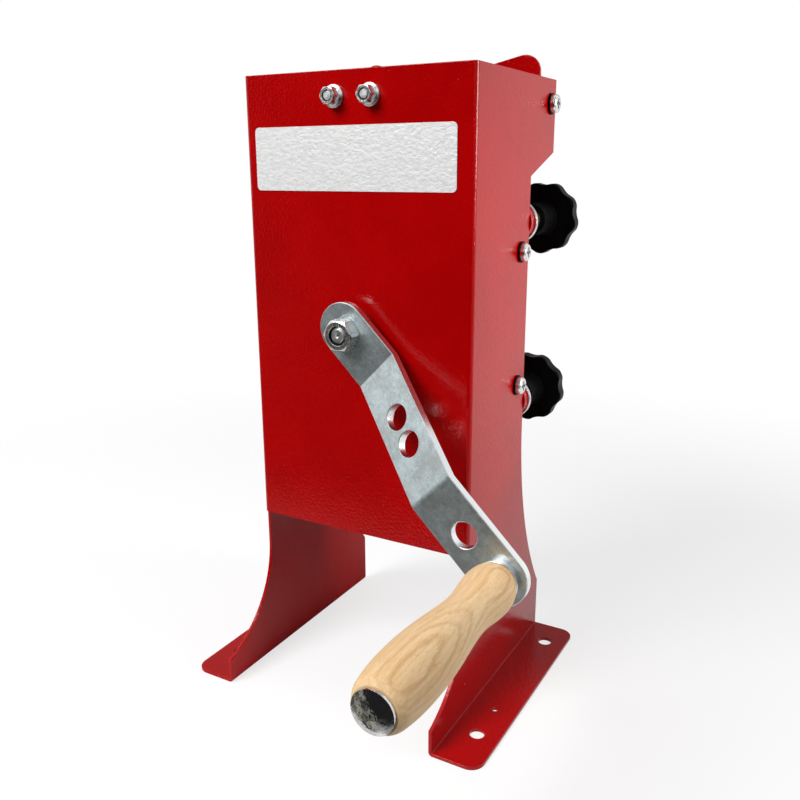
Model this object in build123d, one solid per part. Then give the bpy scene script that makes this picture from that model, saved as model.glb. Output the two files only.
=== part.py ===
from build123d import *
import math
import os

os.makedirs("parts", exist_ok=True)

# Driving dimensions in millimetres and degrees. The origin is on the floor, in the middle
# of the four foot holes. +X is the operator's right, +Y runs to the rear and +Z is up.

# Folded housing
sheet = 2.5
bend_radius = 0.5
sheet_edge = 0.5
corner_turn = 60.0
housing_width = 170.0
housing_height = 430.0
front_bottom = 119.5
hopper_depth = 133.5
body_depth = 91.0
shelf_top = 381.0
shelf_bottom = 365.0
flare_top = 190.0
heel_depth = 138.5
heel_top = 42.0
toe_reach = 51.0
toe_height = 19.0
instep_top = 93.5
foot_reach = 33.5
foot_corner = 10.0
foot_hole_radius = 5.0
foot_hole_inset = 17.5
foot_hole_span = 131.5
foot_hole_lead = 17.75
drain_hole_radius = 2.0
drain_hole_offset = 30.3

# Rear cover
cover_gap = 0.2
ear_half_width = 73.5
ear_rise = 20.5
ear_corner = 12.0
dip_rise = 5.0
dip_radius = 60.0
tab_half_height = 8.0
tab_margin = 8.0
tab_relief = 1.2
top_screw_inset = 9.5
top_screw_drop = 16.5
low_screw_inset = 14.0
middle_screw_z = 315.5
bottom_screw_z = 222.0

# Cover screws and their nuts
screw_radius = 3.0
screw_washer_radius = 7.2
screw_washer_thickness = 1.6
screw_head_radius = 6.2
screw_head_height = 3.9
screw_head_edge = 2.0
screw_length = 12.5
recess_length = 6.6
recess_width = 1.9
recess_depth = 2.6
small_nut_flats = 10.0
small_nut_height = 5.0
nut_face_share = 0.96
nut_chamfer_angle = 30.0
nut_countersink = 0.6
hole_clearance = 0.2

# Front label
label_width = 150.0
label_height = 40.5
label_corner = 3.0
label_thickness = 0.4
label_drop = 33.0
label_shift = -2.0

# Hopper guide and its bolts
guide_sheet = 2.0
guide_wall_gap = 0.5
guide_drop = 28.0
guide_roller_gap = 5.0
guide_end_angle = 55.0
guide_rear_gap = 4.0
guide_bolt_spacing = 26.6
guide_bolt_drop = 15.6
guide_bolt_margin = 9.0
guide_bolt_head = 4.0
guide_bolt_end = 8.0
flange_nut_height = 8.4
flange_nut_radius = 7.1
flange_nut_rim = 1.3

# Crank shaft, bearings and roller
shaft_z = 266.5
shaft_radius = 10.0
running_gap = 0.05
thrust_gap = 0.3
bush_wall = 4.0
bush_flange_width = 5.0
bush_flange_thickness = 3.0
bush_projection = 3.0
shaft_thread_radius = 6.0
shaft_square = 14.0
shaft_tail = 4.0
shaft_chamfer = 1.0
shaft_tip_chamfer = 1.8
shaft_recess = 0.3
shaft_centre = 1.4
ring_thickness = 1.2
ring_depth = 0.6
ring_width = 4.1
ring_opening = 7.0
roller_radius = 34.0
roller_teeth = 18
tooth_depth = 3.5
tooth_lead = 0.35
tooth_land = 0.15
roller_grooves = 5
groove_width = 5.0
roller_end_gap = 0.8
pin_radius = 3.0
pin_length = 56.0
seat_gap = 0.02

# Crank arm
arm_width = 35.0
arm_thickness = 6.0
arm_stand_off = 6.5
arm_angle = 45.3
arm_pitch = 181.0
arm_tail = 4.0
arm_first_bend = 31.8
arm_second_bend = 116.6
arm_joggle = 38.8
arm_bend_radius = 1.5
arm_hole_radius = 8.5
arm_slope_holes = (65.9, 84.5)
arm_flat_hole = 148.7
arm_edge = 0.5
arm_hole_edge = 0.4
arm_nut_flats = 19.0
arm_nut_height = 10.8
square_gap = 0.05

# Grip and its bolt
grip_length = 135.5
grip_bolt_radius = 4.0
grip_base_radius = 11.6
grip_base_round = (4.5, 14.5)
grip_bulb = (12.5, 15.5)
grip_neck = (34.5, 13.4)
grip_swell = (70.0, 15.4)
grip_belly = (104.0, 17.3)
grip_end_round = (6.5, 15.4)
grip_end_radius = 12.2
grip_play = 0.3
grip_gap = 0.08
collar_radius = 13.2
collar_thickness = 4.4
bolt_head_radius = 11.4
bolt_head_height = 4.4
bolt_head_rim = 1.8
grip_nut_flats = 13.0
grip_nut_height = 8.0
bolt_end = 1.5

# Jaw and its clamp bolts
stud_inset = 11.9
upper_stud_z = 334.2
lower_stud_z = 206.2
stud_radius = 5.0
jaw_travel = 16.0
jaw_tilt = 4.0
slot_gap = 0.3
slot_rise = 0.4
jaw_plate = 6.7
jaw_tooth_depth = 2.2
jaw_tooth_pitch = 8.0
jaw_back_gap = 1.0
jaw_reach = 92.0
jaw_teeth = 18
jaw_side_gap = 4.5
lead_rise = 32.0
lead_run = 14.0
lead_thickness = 4.0
socket_wall = 3.3
socket_length = 50.0
socket_web = 6.0
slide_gap = 0.1
clamp_head_flats = 16.0
clamp_head_height = 6.4
boss_radius = 13.4
boss_thickness = 6.0
washer_radius = 14.8
washer_thickness = 3.0
clamp_clearance = 0.25
edge_break = 0.4

# Star knobs
knob_radius = 26.4
knob_dip = 2.2
knob_lobes = 9
knob_height = 34.0
knob_head = 14.0
knob_flare = 1.5
knob_edge = 3.0
knob_crown = 3.0
knob_crown_radius = 14.0
knob_hub_radius = 10.8
knob_hub_root = 13.0
upper_turn = -11.5
lower_turn = -13.0
upper_back_off = 25.0
lower_back_off = 11.0
insert_wall = 2.0
insert_length = 22.0
insert_step = 0.4
stud_in_knob = 20.0

# Places worked out from the driving dimensions
half_width = housing_width / 2
bend_outer = sheet + bend_radius
inner_half = half_width - sheet
cover_half = inner_half - cover_gap
front_y = foot_hole_lead - foot_hole_span / 2
front_inner = front_y + sheet
rear_y = front_y + body_depth
rear_inner = rear_y - sheet
hopper_y = front_y + hopper_depth
heel_y = front_y + heel_depth
toe_y = front_y - toe_reach
foot_hole_x = half_width + foot_hole_inset
guide_bolt_z = housing_height - guide_bolt_drop
stud_x = half_width - stud_inset
socket_radius = stud_radius + socket_wall
insert_radius = stud_radius + insert_wall
arm_back_y = front_y - arm_stand_off
arm_front_y = arm_back_y - arm_thickness
arm_low_y = arm_front_y - arm_joggle
arm_lean = math.radians(arm_angle)
arm_direction = Vector(math.sin(arm_lean), 0, -math.cos(arm_lean))
grip_x = arm_pitch * math.sin(arm_lean)
grip_z = shaft_z - arm_pitch * math.cos(arm_lean)
boss_y = rear_y + slide_gap
washer_y = boss_y + boss_thickness
clamp_y = washer_y + washer_thickness
forward = Vector(0, -1, 0)
rearward = Vector(0, 1, 0)
rightward = Vector(1, 0, 0)
cover_screw_places = (
    (hopper_y - top_screw_inset, housing_height - top_screw_drop, hopper_y),
    (rear_y - low_screw_inset, middle_screw_z, rear_y),
    (rear_y - low_screw_inset, bottom_screw_z, rear_y),
)


# Shapes used by several pieces
def block(x_range, y_range, z_range):
    low = Vector(x_range[0], y_range[0], z_range[0])
    size = Vector(x_range[1], y_range[1], z_range[1]) - low
    return Pos(low + size / 2) * Box(size.X, size.Y, size.Z)


def across_y(outline, start_y, end_y):
    """A face drawn in X and Z, made solid from start_y to end_y."""
    plane = Plane(origin=(0, end_y, 0), x_dir=(1, 0, 0), z_dir=(0, -1, 0))
    return extrude(plane * outline, amount=end_y - start_y)


def across_x(outline, start_x, end_x):
    """A face drawn in Y and Z, made solid from start_x to end_x."""
    plane = Plane(origin=(start_x, 0, 0), x_dir=(0, 1, 0), z_dir=(1, 0, 0))
    return extrude(plane * outline, amount=end_x - start_x)


def polygon(*points):
    return make_face(Polyline(*points, close=True))


def turned(origin, direction, outline):
    """A solid of revolution; the outline holds distance along the axis and radius."""
    plane = Plane(origin=origin, x_dir=direction, z_dir=Vector(direction).cross(Vector(0, 0, 1)))
    return revolve(plane * outline, Axis(origin, direction))


def rod(origin, direction, length, radius):
    return turned(origin, direction, polygon((0, 0), (length, 0), (length, radius), (0, radius)))


def broken_rod(origin, direction, length, radius, edge):
    """A round bar whose two end edges are broken."""
    near_end = ((0, radius - edge), (0, 0))
    far_end = ((length, 0), (length, radius - edge))
    return turned(origin, direction, polygon(*far_end, (length - edge, radius), (edge, radius), *near_end))


def hexagon(origin, direction, flats, height, turn=0.0):
    plane = Plane(origin=origin, x_dir=Vector(0, 0, 1).cross(Vector(direction)), z_dir=direction)
    return extrude(plane * RegularPolygon(flats / 2, 6, major_radius=False, rotation=turn), amount=height)


def hex_body(origin, direction, flats, height, turn=0.0):
    """A hexagon with both faces chamfered at 30 degrees."""
    corner = flats / math.sqrt(3)
    face = flats / 2 * nut_face_share
    drop = (corner - face) * math.tan(math.radians(nut_chamfer_angle))
    envelope = turned(
        origin,
        direction,
        polygon((0, 0), (height, 0), (height, face), (height - drop, corner), (drop, corner), (0, face)),
    )
    return hexagon(origin, direction, flats, height, turn) & envelope


def nut_bore(origin, direction, height, radius):
    """The hole through a nut, countersunk at both faces."""
    near_face = ((0, 0), (0, radius + nut_countersink), (nut_countersink, radius))
    far_face = ((height - nut_countersink, radius), (height, radius + nut_countersink), (height, 0))
    return turned(origin, direction, polygon(*near_face, *far_face))


def hex_nut(origin, direction, flats, height, bore):
    return hex_body(origin, direction, flats, height) - nut_bore(origin, direction, height, bore)


def both_sides(part):
    return [part, mirror(part, about=Plane.YZ)]


def corner_edges(half):
    """Long outward corners of a right-hand half, without smooth seams or the middle plane's edges."""
    faces_at = {}
    for face in half.faces():
        for edge in face.edges():
            faces_at.setdefault(edge, []).append(face)
    corners = []
    for edge, faces in faces_at.items():
        middle = edge @ 0.5
        if len(faces) == 2 and middle.X > sheet and edge.length > 2 * sheet and not edge.is_interior:
            if faces[0].normal_at(middle).get_angle(faces[1].normal_at(middle)) > corner_turn:
                corners.append(edge)
    return ShapeList(corners)


# Folded housing: front panel, sides, legs and feet are one sheet
side_front = front_y + bend_outer
rear_corner = (hopper_y, housing_height)
side_outline = make_face(
    Line((side_front, housing_height), (side_front, instep_top))
    + TangentArc((side_front, instep_top), (toe_y, toe_height), tangent=(0, -1))
    + Polyline((toe_y, toe_height), (toe_y, bend_outer), (heel_y, bend_outer), (heel_y, heel_top))
    + TangentArc((rear_y, flare_top), (heel_y, heel_top), tangent=(0, -1))
    + Polyline(
        (rear_y, flare_top),
        (rear_y, shelf_bottom),
        (hopper_y, shelf_top),
        rear_corner,
        (side_front, housing_height),
    )
)
side_panel = across_x(side_outline, inner_half, half_width)

fold_ring = Circle(bend_outer) - Circle(bend_radius)
front_fold = fold_ring & Pos(bend_outer / 2, -bend_outer / 2) * Rectangle(bend_outer, bend_outer)
fold_x = half_width - bend_outer
front_height = housing_height - front_bottom
corner_fold = extrude(Pos(fold_x, front_y + bend_outer, front_bottom) * front_fold, amount=front_height)

foot_fold_x = half_width + bend_radius
foot_quarter = fold_ring & Pos(-bend_outer / 2, -bend_outer / 2) * Rectangle(bend_outer, bend_outer)
foot_fold = across_y(Pos(foot_fold_x, bend_outer) * foot_quarter, toe_y, heel_y)
foot_length = heel_y - toe_y
foot_outline = Pos(foot_fold_x, (toe_y + heel_y) / 2) * Rectangle(
    foot_reach - bend_radius, foot_length, align=(Align.MIN, Align.CENTER)
)
foot_outline = fillet(foot_outline.vertices().group_by(Axis.X)[-1], foot_corner)
foot_plate = extrude(foot_outline, amount=sheet)
for hole_y in (-foot_hole_span / 2, foot_hole_span / 2):
    foot_plate -= Pos(foot_hole_x, hole_y, sheet / 2) * Cylinder(foot_hole_radius, 2 * sheet)
drain_y = drain_hole_offset - foot_hole_span / 2
foot_plate -= Pos(foot_hole_x, drain_y, sheet / 2) * Cylinder(drain_hole_radius, 2 * sheet)

housing_half = block((0, fold_x), (front_y, front_inner), (front_bottom, housing_height))
for piece in (side_panel, corner_fold, foot_fold, foot_plate):
    housing_half += piece
leg_edges = corner_edges(housing_half).filter_by(lambda edge: abs((edge @ 0.5).Z - front_bottom) > sheet)
housing_half = fillet(leg_edges, sheet_edge)
housing_shell = Part() + both_sides(housing_half)
bush_radius = shaft_radius + bush_wall
housing_shell -= rod((0, front_y - sheet, shaft_z), rearward, 3 * sheet, bush_radius)
for side in (-1, 1):
    bolt_start = (side * guide_bolt_spacing / 2, front_y - sheet, guide_bolt_z)
    housing_shell -= rod(bolt_start, rearward, 3 * sheet, screw_radius + hole_clearance)
    for screw_y, screw_z, _ in cover_screw_places:
        screw_start = (side * (inner_half - sheet), screw_y, screw_z)
        housing_shell -= rod(screw_start, (side, 0, 0), 3 * sheet, screw_radius + hole_clearance)

# Rear cover: one sheet that follows the stepped rear edge, with ears above the rim
shelf_slope = math.atan2(shelf_top - shelf_bottom, hopper_depth - body_depth)


def shelf_inside(y):
    """Height of the shelf's inner face at y."""
    return shelf_bottom + (y - rear_y) * math.tan(shelf_slope) + sheet / math.cos(shelf_slope)


inner_shelf_top = (hopper_y - sheet, shelf_inside(hopper_y - sheet))
inner_shelf_bottom = (rear_inner, shelf_inside(rear_inner))
cover_section = polygon(
    (hopper_y, housing_height),
    (hopper_y, shelf_top),
    (rear_y, shelf_bottom),
    (rear_y, front_bottom),
    (rear_inner, front_bottom),
    inner_shelf_bottom,
    inner_shelf_top,
    (hopper_y - sheet, housing_height),
)
cover_folds = (
    ((hopper_y, shelf_top), bend_outer),
    ((rear_y, shelf_bottom), bend_radius),
    (inner_shelf_bottom, bend_outer),
    (inner_shelf_top, bend_radius),
)
for fold, radius in cover_folds:
    corner = cover_section.vertices().sort_by_distance((fold[0], fold[1], 0))[0]
    cover_section = fillet(corner, radius)
cover_half_wall = across_x(cover_section, 0, cover_half)
ear_outline = polygon(
    (0, housing_height - sheet),
    (ear_half_width, housing_height - sheet),
    (ear_half_width, housing_height + ear_rise),
    (0, housing_height + dip_rise),
)
ear_tip = ear_outline.vertices().sort_by_distance((ear_half_width, housing_height + ear_rise, 0))[0]
ear_outline = fillet(ear_tip, ear_corner)
cover_half_part = cover_half_wall + across_y(ear_outline, hopper_y - sheet, hopper_y)
tab_inner = cover_half - sheet
for screw_y, screw_z, wall_y in cover_screw_places:
    tab_z = (screw_z - tab_half_height, screw_z + tab_half_height)
    relief_z = (tab_z[0] - tab_relief, tab_z[1] + tab_relief)
    fold_centre = (cover_half - bend_outer, wall_y - bend_outer, tab_z[0])
    tab_fold = fold_ring & Pos(bend_outer / 2, bend_outer / 2) * Rectangle(bend_outer, bend_outer)
    tab = extrude(Pos(*fold_centre) * tab_fold, amount=2 * tab_half_height)
    tab += block((tab_inner, cover_half), (screw_y - tab_margin, wall_y - bend_outer), tab_z)
    tab -= rod((tab_inner - sheet, screw_y, screw_z), (1, 0, 0), 3 * sheet, screw_radius + hole_clearance)
    relief = block((cover_half - bend_outer, half_width), (wall_y - bend_outer, wall_y + sheet), relief_z)
    cover_half_part = cover_half_part - relief + tab
rear_cover = Part() + both_sides(cover_half_part)
dip = rear_cover.edges().filter_by(Axis.Y).sort_by_distance((0, hopper_y, housing_height + dip_rise))[0]
rear_cover = fillet(dip, dip_radius)
ear_edges = rear_cover.edges().filter_by(
    lambda edge: (edge @ 0.5).Z > housing_height and edge.length > ear_corner
)
rear_cover = fillet(ear_edges, sheet_edge)
rear_cover -= rod((0, rear_inner - sheet, shaft_z), rearward, 3 * sheet, bush_radius)
stud_spacing = upper_stud_z - lower_stud_z
tilt_run = stud_spacing * math.sin(math.radians(jaw_tilt))
slot_height = 2 * (stud_radius + slot_gap)
for slot_z, run, height in (
    (upper_stud_z, jaw_travel, slot_height),
    (lower_stud_z, jaw_travel + tilt_run, slot_height + 2 * slot_rise),
):
    slot = Pos(stud_x - run / 2, slot_z) * SlotOverall(run + height, height)
    rear_cover -= across_y(slot, rear_inner - sheet, rear_y + sheet)

# Pan-head screws on washers, through the sides, with nuts behind the tabs
head_top = screw_washer_thickness + screw_head_height
crown_start = (head_top - screw_head_edge, screw_head_radius)
crown_end = (head_top, screw_head_radius - screw_head_edge)
screw_outline = make_face(
    Polyline(
        (-screw_length, 0),
        (-screw_length, screw_radius),
        (screw_washer_thickness, screw_radius),
        (screw_washer_thickness, screw_head_radius),
        crown_start,
    )
    + TangentArc(crown_start, crown_end, tangent=(1, 0))
    + Polyline(crown_end, (head_top, 0), (-screw_length, 0))
)
cover_screws = Part()
cover_washers = Part()
cover_nuts = Part()
recess_x = (half_width + head_top - recess_depth, half_width + head_top)
for screw_y, screw_z, _ in cover_screw_places:
    screw_seat = (half_width, screw_y, screw_z)
    screw = turned(screw_seat, rightward, screw_outline)
    for reach_y, reach_z in ((recess_length, recess_width), (recess_width, recess_length)):
        screw -= block(
            recess_x,
            (screw_y - reach_y / 2, screw_y + reach_y / 2),
            (screw_z - reach_z / 2, screw_z + reach_z / 2),
        )
    washer = broken_rod(screw_seat, rightward, screw_washer_thickness, screw_washer_radius, edge_break)
    washer -= rod(screw_seat, rightward, screw_washer_thickness, screw_radius + hole_clearance)
    nut_at = (tab_inner, screw_y, screw_z)
    nut = hex_nut(nut_at, (-1, 0, 0), small_nut_flats, small_nut_height, screw_radius + seat_gap)
    cover_screws += both_sides(screw)
    cover_washers += both_sides(washer)
    cover_nuts += both_sides(nut)

# Label on the front panel
label_outline = Rectangle(label_width, label_height, align=(Align.CENTER, Align.MAX))
label_outline = fillet(label_outline.vertices(), label_corner)
label_outline = Pos(label_shift, housing_height - label_drop) * label_outline
front_label = across_y(label_outline, front_y - label_thickness, front_y)

# Hopper guide: a chute to the jaw's side, with a flange bolted behind the front panel
guide_wall_x = -inner_half + guide_wall_gap
guide_top = (guide_wall_x, housing_height - guide_drop)
guide_radius = roller_radius + guide_roller_gap
guide_angle = math.radians(guide_end_angle)
guide_end = (-guide_radius * math.cos(guide_angle), shaft_z + guide_radius * math.sin(guide_angle))
guide_run = math.hypot(guide_end[0] - guide_top[0], guide_end[1] - guide_top[1])
guide_normal = ((guide_top[1] - guide_end[1]) / guide_run, (guide_end[0] - guide_top[0]) / guide_run)
guide_offset = (guide_sheet * guide_normal[0], guide_sheet * guide_normal[1])
chute = across_y(
    polygon(
        guide_top,
        guide_end,
        (guide_end[0] + guide_offset[0], guide_end[1] + guide_offset[1]),
        (guide_top[0] + guide_offset[0], guide_top[1] + guide_offset[1]),
    ),
    front_inner,
    rear_inner - guide_rear_gap,
)
flange_edge = guide_bolt_spacing / 2 + guide_bolt_margin
flange_top = guide_bolt_z + guide_bolt_margin
guide_flange = across_y(
    polygon(
        guide_top,
        guide_end,
        (flange_edge, guide_bolt_z - guide_bolt_margin),
        (flange_edge, flange_top),
        (guide_wall_x, flange_top),
    ),
    front_inner,
    front_inner + guide_sheet,
)
hopper_guide = chute + guide_flange
guide_bolts = Part()
guide_nuts = Part()
bolt_head_y = front_inner + guide_sheet
bolt_shank = bolt_head_y - front_y + guide_bolt_end
for side in (-1, 1):
    bolt_x = side * guide_bolt_spacing / 2
    head_seat = (bolt_x, bolt_head_y, guide_bolt_z)
    hole_at = (bolt_x, front_inner, guide_bolt_z)
    hopper_guide -= rod(hole_at, rearward, 2 * guide_sheet, screw_radius + hole_clearance)
    guide_bolts += hex_body(head_seat, rearward, small_nut_flats, guide_bolt_head) + broken_rod(
        head_seat, forward, bolt_shank, screw_radius, edge_break
    )
    nut_seat = (bolt_x, front_y, guide_bolt_z)
    nut_flange = turned(
        nut_seat,
        forward,
        polygon(
            (0, 0),
            (2 * flange_nut_rim, 0),
            (2 * flange_nut_rim, small_nut_flats / 2),
            (flange_nut_rim, flange_nut_radius),
            (0, flange_nut_radius),
        ),
    )
    flange_nut = hex_body(nut_seat, forward, small_nut_flats, flange_nut_height) + nut_flange
    guide_nuts += flange_nut - nut_bore(nut_seat, forward, flange_nut_height, screw_radius + seat_gap)


# Plain bearings: each bush has its flange inside the housing and projects outside
def flanged_bush(outer_face_y, outward):
    seat = (0, outer_face_y, shaft_z)
    bore = shaft_radius + running_gap
    inside = -sheet
    return turned(
        seat,
        outward,
        polygon(
            (inside - bush_flange_thickness, bore),
            (bush_projection, bore),
            (bush_projection, bush_radius - edge_break),
            (bush_projection - edge_break, bush_radius),
            (inside, bush_radius),
            (inside, bush_radius + bush_flange_width),
            (inside - bush_flange_thickness, bush_radius + bush_flange_width),
        ),
    )


front_bush = flanged_bush(front_y, forward)
rear_bush = flanged_bush(rear_y, rearward)

# Crank shaft: journal, square seat for the arm, thread and ring groove
shaft_start = arm_back_y
ring_y = rear_y + bush_projection + thrust_gap
shaft_end = ring_y + ring_thickness + shaft_tail
shaft_origin = (0, shaft_start, shaft_z)
square_length = arm_thickness - thrust_gap
thread_end = arm_thickness + arm_nut_height - shaft_recess
crank_shaft = broken_rod(shaft_origin, rearward, shaft_end - shaft_start, shaft_radius, edge_break)
square_at = (0, shaft_start - square_length, shaft_z)
square_bar = block(
    (-shaft_square / 2, shaft_square / 2),
    (shaft_start - square_length, shaft_start + edge_break),
    (shaft_z - shaft_square / 2, shaft_z + shaft_square / 2),
)
crank_shaft += square_bar & rod(square_at, rearward, square_length + shaft_chamfer, shaft_radius - edge_break)
crank_shaft += broken_rod(shaft_origin, forward, thread_end, shaft_thread_radius, shaft_tip_chamfer)
thread_tip = (0, shaft_start - thread_end, shaft_z)
crank_shaft -= turned(thread_tip, rearward, polygon((0, 0), (0, shaft_centre), (shaft_centre, 0)))
groove_floor = shaft_radius - ring_depth
crank_shaft -= turned(
    (0, ring_y, shaft_z),
    rearward,
    polygon(
        (0, groove_floor),
        (ring_thickness, groove_floor),
        (ring_thickness, 2 * shaft_radius),
        (0, 2 * shaft_radius),
    ),
)
ring_bore = groove_floor + seat_gap
ring_radius = groove_floor + ring_width
shaft_ring = turned(
    (0, ring_y, shaft_z),
    rearward,
    polygon((0, ring_bore), (ring_thickness, ring_bore), (ring_thickness, ring_radius), (0, ring_radius)),
)
shaft_ring -= block(
    (-ring_opening / 2, ring_opening / 2),
    (ring_y, ring_y + ring_thickness),
    (shaft_z - 2 * ring_radius, shaft_z),
)

# Toothed roller, pinned to the shaft between the bushes
roller_start = front_inner + bush_flange_thickness + roller_end_gap
roller_end = rear_inner - bush_flange_thickness - roller_end_gap
roller_root = roller_radius - tooth_depth
tooth_step = 2 * math.pi / roller_teeth
tooth_points = []
tooth_shape = ((0, roller_root), (tooth_lead, roller_radius), (tooth_lead + tooth_land, roller_radius))
for tooth in range(roller_teeth):
    for share, radius in tooth_shape:
        angle = (tooth + share) * tooth_step
        tooth_points.append((radius * math.cos(angle), shaft_z + radius * math.sin(angle)))
cracking_roller = across_y(polygon(*tooth_points), roller_start, roller_end)
groove_pitch = (roller_end - roller_start) / (roller_grooves + 1)
for groove in range(1, roller_grooves + 1):
    groove_at = (0, roller_start + groove * groove_pitch, shaft_z)
    cracking_roller -= turned(
        groove_at,
        rearward,
        polygon(
            (-groove_width / 2, roller_radius + edge_break),
            (groove_width / 2, roller_radius + edge_break),
            (0, roller_root),
        ),
    )
roller_length = roller_end - roller_start
cracking_roller -= rod((0, roller_start, shaft_z), rearward, roller_length, shaft_radius + seat_gap)
pin_y = roller_start + groove_pitch * (roller_grooves + 1) / 2
pin_centre = Pos(0, pin_y, shaft_z)
pin_bore = pin_centre * Cylinder(pin_radius + seat_gap, 2 * roller_radius)
cracking_roller -= pin_bore
crank_shaft -= pin_bore
roller_pin = pin_centre * Cylinder(pin_radius, pin_length)
roller_pin = chamfer(roller_pin.edges().filter_by(GeomType.CIRCLE), edge_break)

# Spacer between the front bush and the arm
spacer_length = arm_stand_off - bush_projection - thrust_gap
arm_spacer = broken_rod((0, arm_back_y, shaft_z), rearward, spacer_length, bush_radius, edge_break)
arm_spacer -= rod((0, arm_back_y, shaft_z), rearward, spacer_length, shaft_radius + seat_gap)

# Crank arm: flat bar with a joggle, round ends and three holes
arm_origin = (0, arm_front_y, shaft_z)
arm_across = arm_direction.cross(forward)
arm_half = arm_width / 2
slope = math.atan2(arm_joggle, arm_second_bend - arm_first_bend)
bend_shift = arm_thickness * math.tan(slope / 2)
arm_start = -arm_tail - arm_half
arm_stop = arm_pitch + arm_half
arm_section = polygon(
    (arm_start, 0),
    (arm_first_bend, 0),
    (arm_second_bend, arm_joggle),
    (arm_stop, arm_joggle),
    (arm_stop, arm_joggle - arm_thickness),
    (arm_second_bend + bend_shift, arm_joggle - arm_thickness),
    (arm_first_bend + bend_shift, -arm_thickness),
    (arm_start, -arm_thickness),
)
inside_bends = [(arm_first_bend, 0), (arm_second_bend + bend_shift, arm_joggle - arm_thickness)]
outside_bends = [(arm_second_bend, arm_joggle), (arm_first_bend + bend_shift, -arm_thickness)]
for bends, radius in ((inside_bends, arm_bend_radius), (outside_bends, arm_bend_radius + arm_thickness)):
    for bend in bends:
        corner = arm_section.vertices().sort_by_distance((bend[0], bend[1], 0))[0]
        arm_section = fillet(corner, radius)
section_plane = Plane(origin=arm_origin, x_dir=arm_direction, z_dir=arm_across)
arm_bar = extrude(section_plane * arm_section, amount=arm_half, both=True)
face_plane = Plane(origin=arm_origin, x_dir=arm_direction, z_dir=forward)
arm_middle = (arm_pitch - arm_tail) / 2
arm_outline = Pos(arm_middle, 0) * SlotOverall(arm_pitch + arm_tail + arm_width, arm_width)
arm_depth = arm_joggle + 2 * arm_thickness
outline_plane = face_plane.offset(-2 * arm_thickness)
crank_arm = arm_bar & extrude(outline_plane * arm_outline, amount=arm_depth + arm_thickness)
crank_arm = chamfer(
    crank_arm.edges().filter_by(lambda edge: edge.length > arm_width / 2 and not edge.is_interior), arm_edge
)
slope_rise = math.tan(slope)
slope_normal = forward * math.cos(slope) - arm_direction * math.sin(slope)
for along in arm_slope_holes:
    rise = (along - arm_first_bend) * slope_rise
    hole_at = Vector(arm_origin) + arm_direction * along + forward * rise - slope_normal * (2 * arm_thickness)
    crank_arm -= rod(hole_at, slope_normal, 4 * arm_thickness, arm_hole_radius)
flat_hole_at = Vector(arm_origin) + arm_direction * arm_flat_hole
crank_arm -= rod(flat_hole_at, forward, arm_depth, arm_hole_radius)
hole_rims = crank_arm.edges().filter_by(GeomType.CIRCLE).filter_by(
    lambda edge: abs(edge.radius - arm_hole_radius) < arm_hole_edge
)
crank_arm = chamfer(hole_rims, arm_hole_edge)
bolt_hole_at = (grip_x, arm_low_y - arm_thickness, grip_z)
crank_arm -= rod(bolt_hole_at, rearward, 3 * arm_thickness, grip_bolt_radius + seat_gap)
square_hole = shaft_square / 2 + square_gap
crank_arm -= block(
    (-square_hole, square_hole),
    (arm_front_y - arm_thickness, arm_back_y + arm_thickness),
    (shaft_z - square_hole, shaft_z + square_hole),
)
arm_nut = hex_nut(arm_origin, forward, arm_nut_flats, arm_nut_height, shaft_thread_radius + seat_gap)

# Grip: turned wood that spins on its bolt
collar_y = arm_low_y - collar_thickness
grip_y = collar_y - grip_play
grip_bore = grip_bolt_radius + grip_gap
end_round = (grip_length - grip_end_round[0], grip_end_round[1])
grip_side = Spline(grip_base_round, grip_bulb, grip_neck, grip_swell, grip_belly, end_round)
base_curve = TangentArc(grip_base_round, (0, grip_base_radius), tangent=-(grip_side % 0))
end_curve = TangentArc(end_round, (grip_length, grip_end_radius), tangent=grip_side % 1)
grip_ends = Polyline(
    (grip_length, grip_end_radius),
    (grip_length, grip_bore),
    (0, grip_bore),
    (0, grip_base_radius),
)
grip_outline = make_face(grip_side + base_curve + end_curve + grip_ends)
crank_grip = turned((grip_x, grip_y, grip_z), forward, grip_outline)
grip_collar = broken_rod((grip_x, arm_low_y, grip_z), forward, collar_thickness, collar_radius, edge_break)
grip_collar -= rod((grip_x, arm_low_y, grip_z), forward, collar_thickness, grip_bolt_radius + seat_gap)

# Grip bolt: domed head at the free end, nut behind the arm
head_y = grip_y - grip_length - grip_play
grip_nut_y = arm_low_y + arm_thickness
bolt_tip = grip_nut_y + grip_nut_height + bolt_end
dome = (
    Line((0, 0), (bolt_head_height, 0))
    + TangentArc((bolt_head_height, 0), (bolt_head_rim, bolt_head_radius), tangent=(0, 1))
    + Polyline((bolt_head_rim, bolt_head_radius), (0, bolt_head_radius), (0, 0))
)
grip_bolt = turned((grip_x, head_y, grip_z), forward, make_face(dome))
shank_at = (grip_x, head_y - edge_break, grip_z)
grip_bolt += broken_rod(shank_at, rearward, bolt_tip - head_y, grip_bolt_radius, edge_break)
grip_nut = hex_nut(
    (grip_x, grip_nut_y, grip_z), rearward, grip_nut_flats, grip_nut_height, grip_bolt_radius + seat_gap
)

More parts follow.
